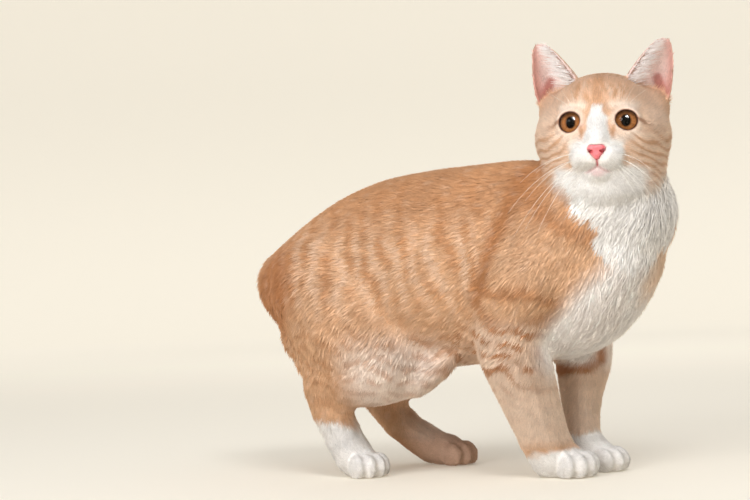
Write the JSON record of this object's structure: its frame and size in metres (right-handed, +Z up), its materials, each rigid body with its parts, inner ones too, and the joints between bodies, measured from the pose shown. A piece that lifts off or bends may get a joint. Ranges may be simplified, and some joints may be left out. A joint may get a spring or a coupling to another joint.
{
  "type": "manx cat",
  "caption": "Life-size standing short-haired tailless cat, its head turned to one side, with flat paw soles.",
  "frame": {"origin": "middle of the bounding box in plan, on the floor the soles stand on", "axes": "+X from rump to breast, +Y to the cat's left, +Z up"},
  "size_m": [0.3614, 0.1758, 0.3325],
  "materials": {
    "coat_orange": "short fur",
    "coat_white": "short fur",
    "ear_skin": "bare skin with thin hair",
    "eye": "wet gloss",
    "nose_leather": "moist"
  },
  "bodies": {
    "root": {"head": "coat_orange", "neck": "coat_orange", "torso": "coat_orange", "tail_stub": "coat_orange", "upper_arm_left": "coat_orange", "upper_arm_right": "coat_orange", "forearm_left": "coat_orange", "forearm_right": "coat_orange", "thigh_left": "coat_orange", "thigh_right": "coat_orange", "metatarsus_left": "coat_orange", "metatarsus_right": "coat_orange", "fore_paw_left": "coat_white", "fore_paw_right": "coat_white", "hind_paw_left": "coat_orange", "hind_paw_right": "coat_white", "ear_left": "ear_skin", "ear_right": "ear_skin", "eye_left": "eye", "eye_right": "eye", "nose": "nose_leather"}
  },
  "joints": []
}
